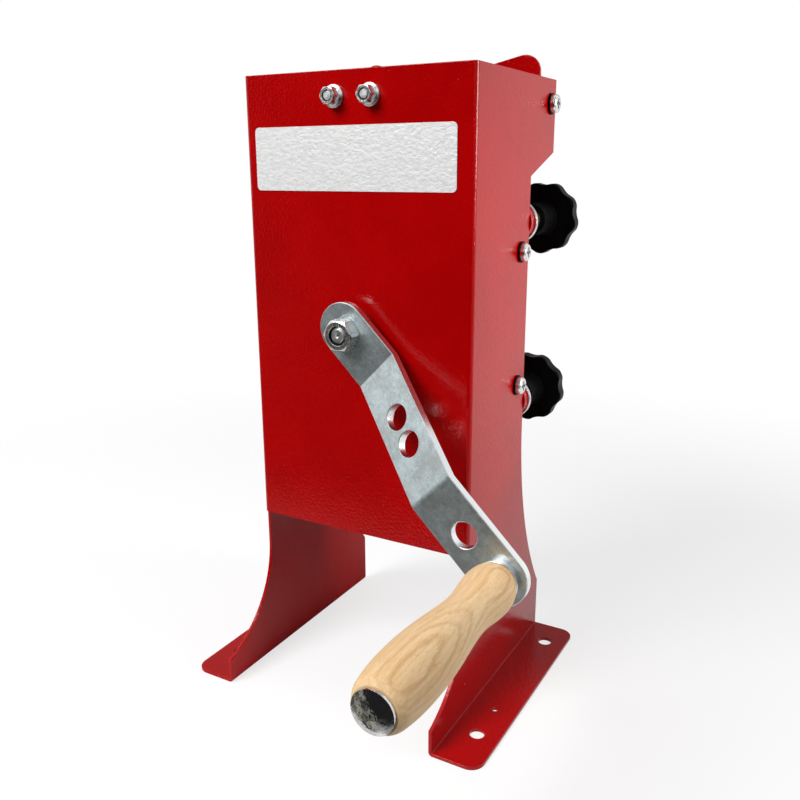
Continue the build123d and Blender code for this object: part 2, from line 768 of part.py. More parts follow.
# Jaw: toothed plate with a lead-in above and a socket for each clamp bolt
back_x = stud_x - socket_radius - jaw_back_gap
tip_x = back_x - jaw_plate
root_x = tip_x + jaw_tooth_depth
jaw_low = shaft_z - jaw_reach
jaw_high = shaft_z + jaw_reach
teeth_low = shaft_z - jaw_teeth * jaw_tooth_pitch / 2
jaw_points = [(back_x, jaw_high), (back_x, jaw_low), (root_x, jaw_low)]
for tooth in range(jaw_teeth):
    tooth_z = teeth_low + tooth * jaw_tooth_pitch
    jaw_points.append((root_x, tooth_z))
    jaw_points.append((tip_x, tooth_z + jaw_tooth_pitch * tooth_lead))
    jaw_points.append((tip_x, tooth_z + jaw_tooth_pitch * (tooth_lead + tooth_land)))
jaw_points += [
    (root_x, teeth_low + jaw_teeth * jaw_tooth_pitch),
    (root_x, jaw_high),
    (root_x + lead_run, jaw_high + lead_rise),
    (root_x + lead_run + lead_thickness, jaw_high + lead_rise),
]
jaw_start = front_inner + jaw_side_gap
jaw_end = rear_inner - jaw_side_gap
jaw = across_y(polygon(*jaw_points), jaw_start, jaw_end)
socket_end = rear_inner - slide_gap
socket_start = socket_end - socket_length
for socket_z in (upper_stud_z, lower_stud_z):
    socket_at = (stud_x, socket_start, socket_z)
    jaw += rod(socket_at, rearward, socket_length, socket_radius)
    jaw += block(
        (back_x - jaw_tooth_depth, stud_x),
        (socket_start, jaw_end),
        (socket_z - socket_web, socket_z + socket_web),
    )
for socket_z in (upper_stud_z, lower_stud_z):
    bore_at = (stud_x, socket_start - sheet, socket_z)
    jaw -= rod(bore_at, rearward, socket_length + 2 * sheet, stud_radius + running_gap)


# Clamp bolts with their bosses, washers and star knobs
def clamp_bolt(stud_z, knob_y):
    head_at = (stud_x, socket_start - slide_gap, stud_z)
    length = knob_y + stud_in_knob - head_at[1]
    head = hex_body(head_at, forward, clamp_head_flats, clamp_head_height, turn=30)
    shank_at = (stud_x, head_at[1] - edge_break, stud_z)
    return head + broken_rod(shank_at, rearward, length + edge_break, stud_radius, edge_break)


def clamp_disc(start_y, stud_z, thickness, radius):
    disc = broken_rod((stud_x, start_y, stud_z), rearward, thickness, radius, edge_break)
    return disc - rod((stud_x, start_y, stud_z), rearward, thickness, stud_radius + clamp_clearance)


def star_face():
    """Outline of the knob's head: shallow dips between round lobes."""
    step = 2 * math.pi / knob_lobes
    join = knob_radius - knob_dip / 2
    star = Curve()

    def at(radius, share):
        return (radius * math.cos(share * step), radius * math.sin(share * step))

    for lobe in range(knob_lobes):
        dip_at = at(knob_radius - knob_dip, lobe + 0.5)
        star += ThreePointArc(at(join, lobe - 0.25), at(knob_radius, lobe), at(join, lobe + 0.25))
        star += ThreePointArc(at(join, lobe + 0.25), dip_at, at(join, lobe + 0.75))
    return make_face(star)


def star_knob(knob_y, stud_z, turn):
    origin = (stud_x, knob_y, stud_z)
    hub_length = knob_height - knob_head
    star = Pos(stud_x, stud_z) * Rot(0, 0, turn) * star_face()
    head = across_y(star, knob_y + hub_length, knob_y + knob_height)
    rim = knob_radius + edge_break
    under = hub_length + knob_flare
    over = knob_height - knob_crown
    crown = make_face(
        Polyline((hub_length, 0), (hub_length, knob_hub_root), (under, rim - knob_edge))
        + RadiusArc((under, rim - knob_edge), (under + knob_edge, rim), knob_edge)
        + Line((under + knob_edge, rim), (over - knob_edge, rim))
        + RadiusArc((over - knob_edge, rim), (over, rim - knob_edge), knob_edge)
        + Polyline((over, rim - knob_edge), (knob_height, knob_crown_radius))
        + Polyline((knob_height, knob_crown_radius), (knob_height, 0), (hub_length, 0))
    )
    hub = turned(
        origin,
        rearward,
        polygon(
            (0, 0),
            (hub_length + edge_break, 0),
            (hub_length + edge_break, knob_hub_root),
            (edge_break, knob_hub_radius),
            (0, knob_hub_radius - edge_break),
        ),
    )
    knob = (head & turned(origin, rearward, crown)) + hub
    return knob - rod(origin, rearward, insert_length, insert_radius)


def knob_insert(knob_y, stud_z):
    origin = (stud_x, knob_y - insert_step, stud_z)
    bush = rod(origin, rearward, insert_length + insert_step, insert_radius)
    return bush - rod(origin, rearward, insert_length + insert_step, stud_radius + running_gap)


nodes = {
    "housing_shell": housing_shell,
    "rear_cover": rear_cover,
    "cover_screws": cover_screws,
    "cover_washers": cover_washers,
    "cover_nuts": cover_nuts,
    "front_label": front_label,
    "hopper_guide": hopper_guide,
    "guide_bolts": guide_bolts,
    "guide_nuts": guide_nuts,
    "front_bush": front_bush,
    "rear_bush": rear_bush,
    "crank_shaft": crank_shaft,
    "shaft_ring": shaft_ring,
    "cracking_roller": cracking_roller,
    "roller_pin": roller_pin,
    "arm_spacer": arm_spacer,
    "crank_arm": crank_arm,
    "arm_nut": arm_nut,
    "crank_grip": crank_grip,
    "grip_collar": grip_collar,
    "grip_bolt": grip_bolt,
    "grip_nut": grip_nut,
    "jaw": jaw,
}
clamps = (
    ("upper", upper_stud_z, upper_back_off, upper_turn),
    ("lower", lower_stud_z, lower_back_off, lower_turn),
)
for name, stud_z, back_off, turn in clamps:
    knob_y = clamp_y + back_off
    nodes[f"{name}_clamp_bolt"] = clamp_bolt(stud_z, knob_y)
    nodes[f"{name}_boss"] = clamp_disc(boss_y, stud_z, boss_thickness, boss_radius)
    nodes[f"{name}_washer"] = clamp_disc(washer_y, stud_z, washer_thickness, washer_radius)
    nodes[f"{name}_knob"] = star_knob(knob_y, stud_z, turn)
    nodes[f"{name}_insert"] = knob_insert(knob_y, stud_z)

for node, shape in nodes.items():
    export_step(shape, f"parts/{node}.step")
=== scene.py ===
import math

import bmesh
import bpy
from mathutils import Matrix, Vector


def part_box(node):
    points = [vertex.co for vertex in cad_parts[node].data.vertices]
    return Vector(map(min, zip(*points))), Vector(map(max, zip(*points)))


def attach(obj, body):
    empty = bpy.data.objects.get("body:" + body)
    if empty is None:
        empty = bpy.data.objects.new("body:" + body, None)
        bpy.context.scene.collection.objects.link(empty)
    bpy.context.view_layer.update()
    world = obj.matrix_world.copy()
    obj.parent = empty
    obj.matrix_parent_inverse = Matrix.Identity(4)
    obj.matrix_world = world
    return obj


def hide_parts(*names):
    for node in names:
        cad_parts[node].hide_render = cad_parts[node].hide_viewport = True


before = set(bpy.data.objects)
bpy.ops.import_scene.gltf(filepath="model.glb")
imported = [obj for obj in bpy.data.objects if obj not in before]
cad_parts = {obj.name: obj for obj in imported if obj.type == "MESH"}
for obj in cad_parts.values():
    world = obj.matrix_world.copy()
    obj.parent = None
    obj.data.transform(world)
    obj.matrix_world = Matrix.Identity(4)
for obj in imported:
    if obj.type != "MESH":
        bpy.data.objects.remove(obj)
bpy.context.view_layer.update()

# Housing, rear cover and clamp bosses
# Sheet steel cut, folded and powder-coated red as one batch with the turned bosses. The coat is glossy,
# with the orange peel that the powder leaves as it flows in the oven, and chips a little on the folds.
DEEP_RED = (0.365, 0.0, 0.0005, 1)
FULL_RED = (0.43, 0.0005, 0.001, 1)
CHIPPED_RED = (0.72, 0.36, 0.33, 1)
TONE_SCALE = 16
PEEL_SCALE = 560
FINE_PEEL_SCALE = 4 * PEEL_SCALE
PEEL_HEIGHT = 0.00021
CHIP_SCALE = 310
FOLD_BAND = 0.0011
WASHER_THICKNESS = 0.0016


class Wire:
    """A socket in a shader. Operators between wires and numbers add Math nodes."""

    def __init__(self, tree, socket=None):
        self.tree = tree
        self.socket = socket

    def node(self, kind, settings=(), sockets=(), out=0):
        """Add a node: its settings first, then the values or links of its sockets."""
        made = self.tree.nodes.new("ShaderNode" + kind)
        for name, value in dict(settings).items():
            setattr(made, name, value)
        for name, value in dict(sockets).items():
            if isinstance(value, Wire):
                self.tree.links.new(value.socket, made.inputs[name])
            else:
                made.inputs[name].default_value = value
        return Wire(self.tree, made.outputs[out])

    def maths(self, operation, first, second):
        return self.node("Math", {"operation": operation}, {0: first, 1: second})

    def __add__(self, other):
        return self.maths("ADD", self, other)

    __radd__ = __add__

    def __mul__(self, other):
        return self.maths("MULTIPLY", self, other)

    __rmul__ = __mul__

    def __sub__(self, other):
        return self.maths("SUBTRACT", self, other)

    def __rsub__(self, other):
        return self.maths("SUBTRACT", other, self)

    def __truediv__(self, other):
        return self.maths("DIVIDE", self, other)


def new_finish(name, constants):
    """A material, its shader and the place on the piece in metres, with the steady values set."""
    material = bpy.data.materials.new(name)
    material.use_nodes = True
    shader = material.node_tree.nodes["Principled BSDF"]
    for socket, value in constants.items():
        shader.inputs[socket].default_value = value
    place = Wire(material.node_tree).node("TexCoord", out="Object")
    return material, shader, place


def feed(shader, **wires):
    """Link wires to the shader: base_color goes to Base Color, and so on."""
    for name, wire in wires.items():
        wire.tree.links.new(wire.socket, shader.inputs[name.replace("_", " ").title()])


def noise(place, scale, detail=2.0, roughness=0.5):
    return place.node(
        "TexNoise", sockets={"Vector": place, "Scale": scale, "Detail": detail, "Roughness": roughness}
    )


def step_up(value, low, high):
    """0 below low, 1 above high, smooth between."""
    return value.node(
        "MapRange",
        {"interpolation_type": "SMOOTHSTEP"},
        {"Value": value, "From Min": low, "From Max": high},
    )


def blend(share, low_colour, high_colour):
    return share.node("Mix", {"data_type": "RGBA"}, {0: share, 6: low_colour, 7: high_colour}, out=2)


def relief(height, depth):
    """Bump of that depth in metres."""
    return height.node("Bump", sockets={"Height": height, "Distance": depth, "Strength": 1.0})


def along(place, axis):
    return place.node("SeparateXYZ", sockets={0: place}, out=axis)


def size_of(value):
    return value.node("Math", {"operation": "ABSOLUTE"}, {0: value})


def dress(material, *names):
    for name in names:
        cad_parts[name].material_slots[0].material = material


red_coat, red_shader, place = new_finish("red_powder_coat", {"IOR": 1.35})
front_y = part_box("front_label")[1].y
fold_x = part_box("cover_washers")[1].x - WASHER_THICKNESS
tone = step_up(noise(place, TONE_SCALE, 4, 0.6), 0.3, 0.7)
peel = noise(place, PEEL_SCALE, 1.5, 0.45)
fine_peel = noise(place, FINE_PEEL_SCALE, 1.0)
off_fold = size_of(size_of(along(place, "X")) - fold_x) + size_of(along(place, "Y") - front_y)
on_fold = 1 - step_up(off_fold, FOLD_BAND, 2 * FOLD_BAND)
chips = on_fold * step_up(noise(place, CHIP_SCALE, 3, 0.6), 0.70, 0.73)
feed(
    red_shader,
    base_color=blend(chips, blend(tone, DEEP_RED, FULL_RED), CHIPPED_RED),
    roughness=0.05 + 0.05 * tone + 0.25 * chips,
    normal=relief(peel + 0.2 * fine_peel - 0.3 * chips, PEEL_HEIGHT),
)
dress(red_coat, "housing_shell", "rear_cover", "upper_boss", "lower_boss")

# Screws, nuts, washers and collar with a bright zinc coat
# Cold-formed fasteners, barrelled and bright zinc-plated, so that flats and crowns are nearly mirrors
# with a faint cloudiness. Nut faces and bolt ends keep the fine rings of the tool that faced them.
BRIGHT_LOW = (0.66, 0.665, 0.66, 1)
BRIGHT_HIGH = (0.84, 0.85, 0.85, 1)
# Near black painted into nut threads and the shaft's lathe centre, as painted shade in those hollows.
PAINTED_RECESS_SHADE = (0.018, 0.017, 0.016, 1)
PAINTED_SHADE_EDGE = 0.0001
CLOUD_SCALE = 420
FACED_PITCH = 0.0007
FACED_DEPTH = 0.00012
ARM_NUT_THREAD = 0.0064
GUIDE_NUT_THREAD = 0.0035
NO_THREAD = 0.0


def stretch(place, scales):
    return place.node("VectorMath", {"operation": "MULTIPLY"}, {0: place, 1: scales})


def middle_of(node):
    low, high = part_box(node)
    return (low + high) / 2


def axis_radius(place, centre):
    """Distance from a front-to-back axis, or from a pair of them at either side."""
    across = size_of(along(place, "X")) - abs(centre.x)
    height = along(place, "Z") - centre.z
    return place.node("Math", {"operation": "SQRT"}, {0: across * across + height * height})


def zinc_coat(name, shade, light, dullness, centre, thread=NO_THREAD):
    """Zinc with tool rings round an axis, and painted shade, near black, in a nut's thread out to that
    radius.
    """
    finish, shader, place = new_finish(name, {"Metallic": 1.0})
    cloud = step_up(noise(place, CLOUD_SCALE, 4, 0.6), 0.3, 0.7)
    radius = axis_radius(place, centre)
    rings = radius.node("TexNoise", {"noise_dimensions": "1D"}, {"W": radius / FACED_PITCH, "Scale": 1.0})
    # Painted shade: a near-black disc over the nut's thread and bore, out to the thread's radius.
    painted_shade = 1 - step_up(radius, thread, thread + PAINTED_SHADE_EDGE)
    feed(
        shader,
        base_color=blend(painted_shade, blend(0.5 * cloud + 0.5 * rings, shade, light), PAINTED_RECESS_SHADE),
        roughness=dullness + 0.10 * cloud + 0.12 * rings,
        normal=relief(rings + 0.2 * cloud, FACED_DEPTH),
    )
    return finish


guide_low, guide_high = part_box("guide_nuts")
flange_radius = (guide_high.z - guide_low.z) / 2
guide_axis = guide_high - Vector((flange_radius, 0, flange_radius))
BRIGHT_FINISHES = (
    ("guide_nuts", 0.15, guide_axis, GUIDE_NUT_THREAD),
    ("guide_bolts", 0.26, guide_axis, NO_THREAD),
    ("arm_nut", 0.14, middle_of("arm_nut"), ARM_NUT_THREAD),
    ("grip_collar", 0.09, middle_of("grip_collar"), NO_THREAD),
    ("cover_screws", 0.07, middle_of("cover_screws"), NO_THREAD),
    ("upper_washer", 0.12, middle_of("upper_washer"), NO_THREAD),
    ("lower_washer", 0.12, middle_of("lower_washer"), NO_THREAD),
)
for node, dullness, centre, thread in BRIGHT_FINISHES:
    dress(zinc_coat("bright_zinc_" + node, BRIGHT_LOW, BRIGHT_HIGH, dullness, centre, thread), node)

# Front label
# Thin pressed foil stuck to the front panel under the guide nuts: pale, plain and slightly crinkled,
# with a mottled sheen.
FOIL_SHADE = (0.74, 0.75, 0.75, 1)
FOIL_LIGHT = (0.84, 0.845, 0.84, 1)
CRINKLE_SHAPE = (1.0, 1.0, 1.4)
CRINKLE_SCALE = 360
CRINKLE_HEIGHT = 0.00045
FOIL_GRAIN_SCALE = 1500
foil, foil_shader, place = new_finish("pressed_foil", {"Metallic": 0.15, "IOR": 1.45})
crinkle = noise(stretch(place, CRINKLE_SHAPE), CRINKLE_SCALE, 3, 0.55)
grain = noise(place, FOIL_GRAIN_SCALE, 2, 0.6)
feed(
    foil_shader,
    base_color=blend(step_up(crinkle, 0.28, 0.62) * 0.85 + grain * 0.15, FOIL_SHADE, FOIL_LIGHT),
    roughness=0.34 + 0.18 * grain,
    normal=relief(crinkle + 0.15 * grain, CRINKLE_HEIGHT),
)
dress(foil, "front_label")

# Hopper guide
# Stainless sheet, brushed in one direction, then bent into a chute and bolted behind the front panel.
STAINLESS_LOW = (0.44, 0.445, 0.45, 1)
STAINLESS_HIGH = (0.62, 0.625, 0.63, 1)
BRUSH_LINES = (60, 5200, 60)
BRUSH_DEPTH = 0.00002
SMEAR_SCALE = 38


def streaks(place, lines, detail=2.0, roughness=0.5):
    """Noise drawn out along one or two axes, with so many lines to a metre along each."""
    return noise(stretch(place, lines), 1, detail, roughness)


stainless, stainless_shader, place = new_finish("brushed_stainless", {"Metallic": 1.0})
brushed = streaks(place, BRUSH_LINES, 3, 0.6)
smear = step_up(noise(place, SMEAR_SCALE, 4, 0.6), 0.35, 0.7)
feed(
    stainless_shader,
    base_color=blend(0.6 * brushed + 0.4 * smear, STAINLESS_LOW, STAINLESS_HIGH),
    roughness=0.24 + 0.16 * smear,
    normal=relief(brushed, BRUSH_DEPTH),
)
dress(stainless, "hopper_guide")

# Shaft bushes
# Sintered bronze, porous and oil-soaked, pressed into the front and rear panels.
BRONZE_DARK = (0.23, 0.125, 0.05, 1)
BRONZE_LIGHT = (0.52, 0.33, 0.15, 1)
SINTER_SCALE = 2600
SINTER_DEPTH = 0.00003
OIL_SCALE = 120
bronze, bronze_shader, place = new_finish("sintered_bronze", {"Metallic": 1.0})
sinter = step_up(noise(place, SINTER_SCALE, 2, 0.6), 0.42, 0.6)
oil = noise(place, OIL_SCALE, 3)
feed(
    bronze_shader,
    base_color=blend(0.75 * sinter + 0.35 * oil, BRONZE_DARK, BRONZE_LIGHT),
    roughness=0.50 - 0.22 * oil,
    normal=relief(sinter, SINTER_DEPTH),
)
dress(bronze, "front_bush", "rear_bush")

# Roller, jaw and shaft ring
# Tool steel, milled with straight cutter passes and hardened to a dark, uneven grey. The roller is pinned
# to the shaft, the jaw hangs on the clamp bolts, and the ring snaps into a groove at the shaft's end.
STEEL_DARK = (0.115, 0.115, 0.12, 1)
STEEL_LIGHT = (0.34, 0.34, 0.345, 1)
CUTTER_LINES = (900, 35, 900)
CUTTER_DEPTH = 0.00003
HARDENED_SCALE = 70
tooth_steel, steel_shader, place = new_finish("hardened_steel", {"Metallic": 1.0})
passes = streaks(place, CUTTER_LINES, 3, 0.6)
hardened = step_up(noise(place, HARDENED_SCALE, 5, 0.6), 0.3, 0.72)
feed(
    steel_shader,
    base_color=blend(0.45 * passes + 0.55 * hardened, STEEL_DARK, STEEL_LIGHT),
    roughness=0.30 + 0.22 * hardened,
    normal=relief(passes, CUTTER_DEPTH),
)
dress(tooth_steel, "cracking_roller", "jaw", "shaft_ring")

# Shaft, pin, spacer and plain nuts
# Turned steel with an ordinary zinc coat: even, slightly blue and duller than the bright fasteners. The
# shaft's end has its lathe centre painted near black, as painted shade in that hollow.
ZINC_SHADE = (0.50, 0.515, 0.52, 1)
ZINC_LIGHT = (0.72, 0.735, 0.74, 1)
ZINC_DULLNESS = 0.26
# Radius of the painted shade in the shaft's lathe centre.
CENTRE_SHADE_RADIUS = 0.0005


def plain_zinc(name, centre, thread=NO_THREAD):
    return zinc_coat(name, ZINC_SHADE, ZINC_LIGHT, ZINC_DULLNESS, centre, thread)


shaft_zinc = plain_zinc("zinc_shaft", middle_of("crank_shaft"), CENTRE_SHADE_RADIUS)
dress(shaft_zinc, "crank_shaft", "roller_pin", "arm_spacer", "cover_nuts")
dress(plain_zinc("zinc_grip_nut", middle_of("grip_nut")), "grip_nut")

# Crank arm
# A flat steel bar, cut, drilled, bent at two lines and zinc-plated. The plating is mottled blue-grey
# with pale blooms and a few handling scratches.
ARM_SHADE = (0.415, 0.445, 0.445, 1)
ARM_MIDDLE = (0.49, 0.56, 0.575, 1)
ARM_BLOOM = (0.585, 0.68, 0.71, 1)
ARM_EDGE = (0.84, 0.87, 0.88, 1)
ARM_TURN = math.radians(-44.7)
BLOTCH_SCALE = 62
SPANGLE_SCALE = 330
SPECKLE_SCALE = 1300
WIPED_LINES = (95, 300, 620)
SCRATCH_LINES = (170, 400, 2200)
SCRATCH_TURN = 0.6
PLATING_DEPTH = 0.00006


def turned(place, angle):
    """The place turned about the front-to-back axis."""
    return place.node("VectorRotate", {"rotation_type": "Y_AXIS"}, {"Vector": place, "Angle": angle})


arm_zinc, arm_shader, place = new_finish("mottled_zinc", {"Metallic": 1.0})
blotch = noise(place, BLOTCH_SCALE, 6, 0.62)
spangle = noise(place, SPANGLE_SCALE, 4, 0.65)
speckle = noise(place, SPECKLE_SCALE, 3, 0.65)
wiped = streaks(turned(place, ARM_TURN), WIPED_LINES, 4, 0.62)
scratched = step_up(streaks(turned(place, SCRATCH_TURN), SCRATCH_LINES, 3, 0.7), 0.66, 0.76)
facing = place.node("TexCoord", out="Normal")
cut_edge = 1 - step_up(size_of(along(facing, "Y")), 0.3, 0.6)
grey = blend(step_up(0.25 * blotch + 0.40 * wiped + 0.35 * speckle, 0.42, 0.58), ARM_SHADE, ARM_MIDDLE)
bloomed = blend(step_up(0.35 * blotch + 0.35 * spangle + 0.30 * speckle, 0.45, 0.63), grey, ARM_BLOOM)
feed(
    arm_shader,
    base_color=blend(cut_edge, blend(0.35 * scratched, bloomed, ARM_SHADE), ARM_EDGE),
    roughness=0.30 + 0.18 * blotch + 0.08 * wiped + 0.10 * scratched - 0.18 * cut_edge,
    normal=relief(0.4 * spangle + 0.5 * wiped + 0.5 * speckle - 0.15 * scratched, PLATING_DEPTH),
)
dress(arm_zinc, "crank_arm")

# Wooden grip
# One turned piece of pale beech, sanded and thinly oiled. Growth rings lie flat to the side that faces up
# and outward, so the swelling cuts them into long nested ovals, and short pores follow the grain.
WOOD_PALE = (0.82, 0.61, 0.36, 1)
WOOD_WARM = (0.69, 0.435, 0.21, 1)
WOOD_LINE = (0.50, 0.25, 0.085, 1)
RING_STEP = 0.0027
RING_PHASE = 0.4
RING_FACE = Vector((0.585, -0.075, 0.807))
WANDER_LINES = (38, 12, 38)
JITTER_LINES = (190, 45, 190)
FUZZ_LINES = (1100, 160, 1100)
PORE_LINES = (1700, 330, 1700)
CROWDED_SCALE = 48
FIBRE_LINES = (620, 24, 620)
SHADE_LINES = (34, 16, 34)
FAINT_LINES = (60, 16, 60)
GRAIN_DEPTH = 0.00004


def dot(place, direction):
    return place.node("VectorMath", {"operation": "DOT_PRODUCT"}, {0: place, 1: direction}, out="Value")


beech, wood_shader, place = new_finish("turned_beech", {"IOR": 1.4, "Specular IOR Level": 0.35})
from_middle = place.node("VectorMath", {"operation": "SUBTRACT"}, {0: place, 1: middle_of("crank_grip")})
wander = streaks(place, WANDER_LINES)
jitter = streaks(place, JITTER_LINES, 4, 0.6)
fuzz = streaks(place, FUZZ_LINES, 3, 0.6)
rings = dot(from_middle, RING_FACE) / RING_STEP + RING_PHASE + 1.8 * wander + 0.8 * jitter + 0.40 * fuzz
year = rings.node("Math", {"operation": "FRACT"}, {0: rings})
late_wood = step_up(year, 0.40, 0.80) - step_up(year, 0.80, 1.0)
crowded = step_up(noise(place, CROWDED_SCALE), 0.40, 0.62)
pores = step_up(streaks(place, PORE_LINES, 2, 0.6), 0.58, 0.70) * (0.35 + 0.65 * crowded)
fibre = streaks(place, FIBRE_LINES, 4, 0.65)
shade = streaks(place, SHADE_LINES, 3)
body = blend(step_up(0.6 * fibre + 0.4 * shade, 0.30, 0.72), WOOD_PALE, WOOD_WARM)
faint = step_up(streaks(place, FAINT_LINES), 0.3, 0.65)
flat_sawn = step_up(dot(place.node("TexCoord", out="Normal"), RING_FACE), 0.45, 0.98)
ring_strength = 0.06 + flat_sawn * (0.12 + 0.38 * faint)
lined = blend(late_wood * ring_strength, body, WOOD_LINE)
feed(
    wood_shader,
    base_color=blend(pores * 0.5, lined, WOOD_LINE),
    roughness=0.44 + 0.14 * fibre,
    normal=relief(fibre - 0.8 * pores, GRAIN_DEPTH),
)
dress(beech, "crank_grip")

# Grip bolt
# The long bolt that the grip spins on. Its domed head is forged, polished and chromed, so it mirrors the
# room with the slight waves that forging leaves.
HEAD_LOW = (0.60, 0.60, 0.61, 1)
HEAD_HIGH = (0.74, 0.74, 0.745, 1)
HAZE_SCALE = 300
FORGED_SCALE = 260
FORGED_DEPTH = 0.00035
chrome, chrome_shader, place = new_finish("polished_head", {"Metallic": 1.0})
haze = step_up(noise(place, HAZE_SCALE, 4, 0.6), 0.35, 0.7)
forged = noise(place, FORGED_SCALE)
feed(
    chrome_shader,
    base_color=blend(haze, HEAD_HIGH, HEAD_LOW),
    roughness=0.04 + 0.05 * haze,
    normal=relief(forged, FORGED_DEPTH),
)
dress(chrome, "grip_bolt")

# Clamp bolts
# Two M10 bolts put through the jaw from the front, that the star knobs clamp from behind. The thread is
# rolled over the rear length, so it is cut here as a real helix in place of a plain rod.
THREAD_PITCH = 0.0015
THREAD_TOP = 0.00496
THREAD_DEPTH = 0.0009
FLANK_STEEPNESS = 1.25
THREAD_SIDES = 40
ROWS_PER_TURN = 8
HEAD_HEIGHT = 0.0064
HEAD_FACE = 0.92
HEAD_BEVEL = 1.02
BEVEL_START = 0.0006
BEVEL_END = 0.0016
SHANK_START = 0.040
END_BREAK = 0.0009


def ring_of(mesh, centre, y, radius_at):
    """A ring of vertices round a rearward axis."""
    ring = []
    for side in range(THREAD_SIDES):
        turn = 2 * math.pi * side / THREAD_SIDES
        radius = radius_at(turn)
        across, height = radius * math.cos(turn), radius * math.sin(turn)
        ring.append(mesh.verts.new((centre.x + across, y, centre.z + height)))
    return ring


def skin(mesh, rings):
    for near, far in zip(rings, rings[1:]):
        for side in range(THREAD_SIDES):
            after = (side + 1) % THREAD_SIDES
            mesh.faces.new((near[side], near[after], far[after], far[side]))


def threaded_bolt(name):
    low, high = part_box(name)
    centre = middle_of(name)
    across = (high.x - low.x) / 2
    mesh = bmesh.new()

    def hexagon(turn):
        return across / math.cos((turn + math.pi / 6) % (math.pi / 3) - math.pi / 6)

    def bevelled(turn):
        return min(hexagon(turn), across * HEAD_BEVEL)

    def thread(y):
        def radius(turn):
            wave = (y / THREAD_PITCH - turn / (2 * math.pi)) % 1.0
            flank = abs(2 * wave - 1) * FLANK_STEEPNESS - (FLANK_STEEPNESS - 1) / 2
            taper = min((high.y - y) / END_BREAK, 1.0)
            return THREAD_TOP - THREAD_DEPTH * max(min(max(flank, 0), 1), 1 - taper)
        return radius

    head_back = low.y + HEAD_HEIGHT
    thread_start = low.y + SHANK_START
    rings = [
        ring_of(mesh, centre, low.y, lambda turn: across * HEAD_FACE),
        ring_of(mesh, centre, low.y + BEVEL_START, bevelled),
        ring_of(mesh, centre, low.y + BEVEL_END, hexagon),
        ring_of(mesh, centre, head_back, hexagon),
        ring_of(mesh, centre, head_back, lambda turn: THREAD_TOP),
        ring_of(mesh, centre, thread_start, lambda turn: THREAD_TOP),
    ]
    thread_length = high.y - low.y - SHANK_START
    rows = int(thread_length / THREAD_PITCH * ROWS_PER_TURN)
    for row in range(1, rows + 1):
        y = thread_start + thread_length * row / rows
        rings.append(ring_of(mesh, centre, y, thread(y)))
    skin(mesh, rings)
    mesh.faces.new(rings[0])
    mesh.faces.new(reversed(rings[-1]))
    bmesh.ops.recalc_face_normals(mesh, faces=mesh.faces)
    data = bpy.data.meshes.new(name + "_threaded")
    mesh.to_mesh(data)
    mesh.free()
    data.materials.append(plain_zinc("zinc_" + name, centre))
    bolt = bpy.data.objects.new(name + "_threaded", data)
    bpy.context.scene.collection.objects.link(bolt)
    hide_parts(name)
    return bolt


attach(threaded_bolt("upper_clamp_bolt"), "jaw_slider")
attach(threaded_bolt("lower_clamp_bolt"), "jaw")

# Star knobs and screw washers
# Black moulded phenolic with a satin skin, a little worn by handling. The knobs screw onto the clamp
# bolts, and the washers lie under the cover screws' heads, black to give painted shade in the gap under each
# head.
KNOB_BLACK = (0.0015, 0.0015, 0.0016, 1)
KNOB_WORN = (0.005, 0.005, 0.0052, 1)
SKIN_SCALE = 2600
SKIN_DEPTH = 0.000018
HANDLING_SCALE = 85
phenolic, knob_shader, place = new_finish("black_phenolic", {"IOR": 1.45, "Specular IOR Level": 0.06})
skin_grain = noise(place, SKIN_SCALE, 2, 0.6)
handling = step_up(noise(place, HANDLING_SCALE, 4, 0.6), 0.4, 0.75)
feed(
    knob_shader,
    base_color=blend(0.7 * handling + 0.3 * skin_grain, KNOB_BLACK, KNOB_WORN),
    roughness=0.30 + 0.16 * handling,
    normal=relief(skin_grain, SKIN_DEPTH),
)
# The cover washers' black stands for painted shade under the screw heads.
dress(phenolic, "upper_knob", "lower_knob", "cover_washers")

# Knob bushes
# Threaded brass bushes that the knobs are moulded round, darkened to a near-black brown.
BRASS_SHADE = (0.045, 0.032, 0.018, 1)
BRASS_LIGHT = (0.17, 0.115, 0.055, 1)
BRASS_MOTTLE_SCALE = 300
BRASS_MOTTLE_DEPTH = 0.00001
# The brass is darkened near black, mottled at random.
brass, brass_shader, place = new_finish("bush_brass", {"Metallic": 1.0})
brass_mottle = noise(place, BRASS_MOTTLE_SCALE, 4, 0.6)
feed(
    brass_shader,
    base_color=blend(brass_mottle, BRASS_SHADE, BRASS_LIGHT),
    roughness=0.22 + 0.20 * brass_mottle,
    normal=relief(brass_mottle, BRASS_MOTTLE_DEPTH),
)
dress(brass, "upper_insert", "lower_insert")

# Floor
# A white paper sweep that ends a little in front of the object and fades out far off, where the white
# surroundings take over. Mirrored, it glows white on the right-hand side as a painted reflection, and is
# plain paper elsewhere.
FLOOR_HALF = 2.4
FLOOR_CELLS = 8
PAPER_SHADE = (0.66, 0.66, 0.66, 1)
WHITE = (1.0, 1.0, 1.0, 1)
PAPER_FRONT = -0.262
PAPER_FADE = 0.018
PAPER_FAR = (0.42, 0.95)
PAPER_LIFT = 0.70
MIRROR_WHITE_SIDE = (0.07, 0.10)


def rays_at(place):
    """Whether a ray comes from the camera, straight or through glass, and whether it was mirrored."""
    seen, through, mirrored = (
        place.node("LightPath", out=ray) for ray in ("Is Camera Ray", "Is Transmission Ray", "Is Glossy Ray")
    )
    return seen + through, mirrored


def shown_as(tree, ending, wire):
    """Let a wire take the place of what the tree's output shows."""
    tree.links.new(wire.socket, tree.nodes[ending].inputs["Surface"])


